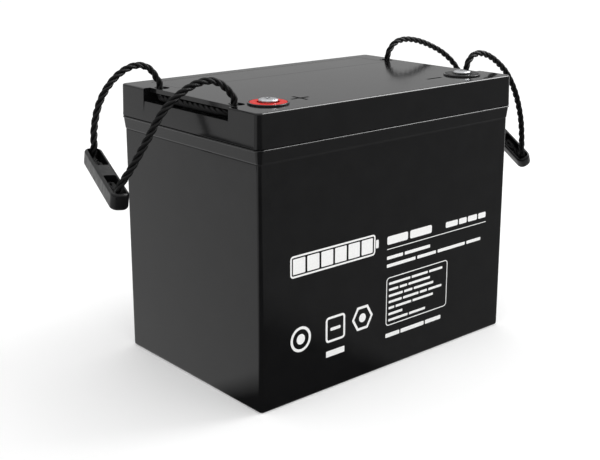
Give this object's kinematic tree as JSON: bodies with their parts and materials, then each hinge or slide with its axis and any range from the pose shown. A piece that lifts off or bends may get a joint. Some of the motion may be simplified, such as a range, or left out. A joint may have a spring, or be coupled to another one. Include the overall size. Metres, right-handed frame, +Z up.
{
  "type": "deep cycle battery",
  "caption": "Sealed lead-acid deep cycle battery: black jar and lid, bolt terminals at the front corners and a rope handle with a plastic grip at each end.",
  "frame": {"origin": "middle of the jar's flat underside", "axes": "+X along the long side towards the negative terminal, +Y towards the rear long face, +Z up"},
  "size_m": [0.4347, 0.168, 0.2317],
  "materials": {
    "abs_black": "satin moulded ABS",
    "grip_plastic": "moulded polypropylene",
    "rope": "twisted three-strand polypropylene rope",
    "rubber_black": "moulded rubber",
    "seal_red": "glossy cast sealing resin",
    "seal_black": "glossy cast sealing resin",
    "steel": "bright zinc-plated steel",
    "brass": "turned, tin-plated brass",
    "lead": "cast lead",
    "positive_plate": "pasted lead dioxide",
    "negative_plate": "pasted sponge lead",
    "glass_mat": "absorbent glass mat",
    "sealant": "epoxy bead"
  },
  "bodies": {
    "root": {"battery_jar": "abs_black", "lid": "abs_black", "lid_sealant_bead": "sealant", "valve_cover_strip": "abs_black", "positive_plates_1": "positive_plate", "negative_plates_1": "negative_plate", "glass_mat_separator_1": "glass_mat", "positive_plates_2": "positive_plate", "negative_plates_2": "negative_plate", "glass_mat_separator_2": "glass_mat", "positive_plates_3": "positive_plate", "negative_plates_3": "negative_plate", "glass_mat_separator_3": "glass_mat", "positive_plates_4": "positive_plate", "negative_plates_4": "negative_plate", "glass_mat_separator_4": "glass_mat", "positive_plates_5": "positive_plate", "negative_plates_5": "negative_plate", "glass_mat_separator_5": "glass_mat", "positive_plates_6": "positive_plate", "negative_plates_6": "negative_plate", "glass_mat_separator_6": "glass_mat", "intercell_link_1": "lead", "intercell_link_2": "lead", "intercell_link_3": "lead", "intercell_link_4": "lead", "intercell_link_5": "lead", "terminal_post_positive": "lead", "terminal_o_ring_positive": "rubber_black", "terminal_bush_positive": "brass", "terminal_seal_positive": "seal_red", "terminal_post_negative": "lead", "terminal_o_ring_negative": "rubber_black", "terminal_bush_negative": "brass", "terminal_seal_negative": "seal_black", "left_rope_run": "rope", "right_rope_run": "rope"},
    "handle_left": {"left_grip": "grip_plastic", "left_rope_leg_front": "rope", "left_rope_leg_rear": "rope", "left_knot_front": "rope", "left_knot_rear": "rope"},
    "handle_right": {"right_grip": "grip_plastic", "right_rope_leg_front": "rope", "right_rope_leg_rear": "rope", "right_knot_front": "rope", "right_knot_rear": "rope"},
    "washers_positive": {"flat_washer_positive": "steel", "spring_washer_positive": "steel"},
    "bolt_positive": {"terminal_bolt_positive": "steel"},
    "washers_negative": {"flat_washer_negative": "steel", "spring_washer_negative": "steel"},
    "bolt_negative": {"terminal_bolt_negative": "steel"},
    "valve_1": {"relief_valve_cap_1": "rubber_black"},
    "valve_2": {"relief_valve_cap_2": "rubber_black"},
    "valve_3": {"relief_valve_cap_3": "rubber_black"},
    "valve_4": {"relief_valve_cap_4": "rubber_black"},
    "valve_5": {"relief_valve_cap_5": "rubber_black"},
    "valve_6": {"relief_valve_cap_6": "rubber_black"}
  },
  "joints": [
    {"name": "left_handle_swing", "type": "hinge", "parent": "root", "child": "handle_left", "pos_m": [-0.1186, 0, 0.2142], "axis": [0, 1, 0], "range_deg": [-30, 118]},
    {"name": "right_handle_swing", "type": "hinge", "parent": "root", "child": "handle_right", "pos_m": [0.1186, 0, 0.2142], "axis": [0, -1, 0], "range_deg": [-30, 118]},
    {"name": "positive_bolt_lift", "type": "slide", "parent": "root", "child": "washers_positive", "axis": [0, 0, 1], "range_m": [0, 0.0145]},
    {"name": "positive_bolt_turn", "type": "hinge", "parent": "washers_positive", "child": "bolt_positive", "pos_m": [-0.099, -0.057, 0.2124], "axis": [0, 0, 1], "range_deg": [0, 5225]},
    {"name": "negative_bolt_lift", "type": "slide", "parent": "root", "child": "washers_negative", "axis": [0, 0, 1], "range_m": [0, 0.0145]},
    {"name": "negative_bolt_turn", "type": "hinge", "parent": "washers_negative", "child": "bolt_negative", "pos_m": [0.099, -0.057, 0.2124], "axis": [0, 0, 1], "range_deg": [0, 5225]},
    {"name": "valve_1_lift", "type": "slide", "parent": "root", "child": "valve_1", "axis": [0, 0, 1], "range_m": [0, 0.0008]},
    {"name": "valve_2_lift", "type": "slide", "parent": "root", "child": "valve_2", "axis": [0, 0, 1], "range_m": [0, 0.0008]},
    {"name": "valve_3_lift", "type": "slide", "parent": "root", "child": "valve_3", "axis": [0, 0, 1], "range_m": [0, 0.0008]},
    {"name": "valve_4_lift", "type": "slide", "parent": "root", "child": "valve_4", "axis": [0, 0, 1], "range_m": [0, 0.0008]},
    {"name": "valve_5_lift", "type": "slide", "parent": "root", "child": "valve_5", "axis": [0, 0, 1], "range_m": [0, 0.0008]},
    {"name": "valve_6_lift", "type": "slide", "parent": "root", "child": "valve_6", "axis": [0, 0, 1], "range_m": [0, 0.0008]}
  ],
  "couplings": [
    {"joint": "positive_bolt_turn", "follows": "positive_bolt_lift", "rad_per_m": 6283.2},
    {"joint": "negative_bolt_turn", "follows": "negative_bolt_lift", "rad_per_m": 6283.2}
  ]
}
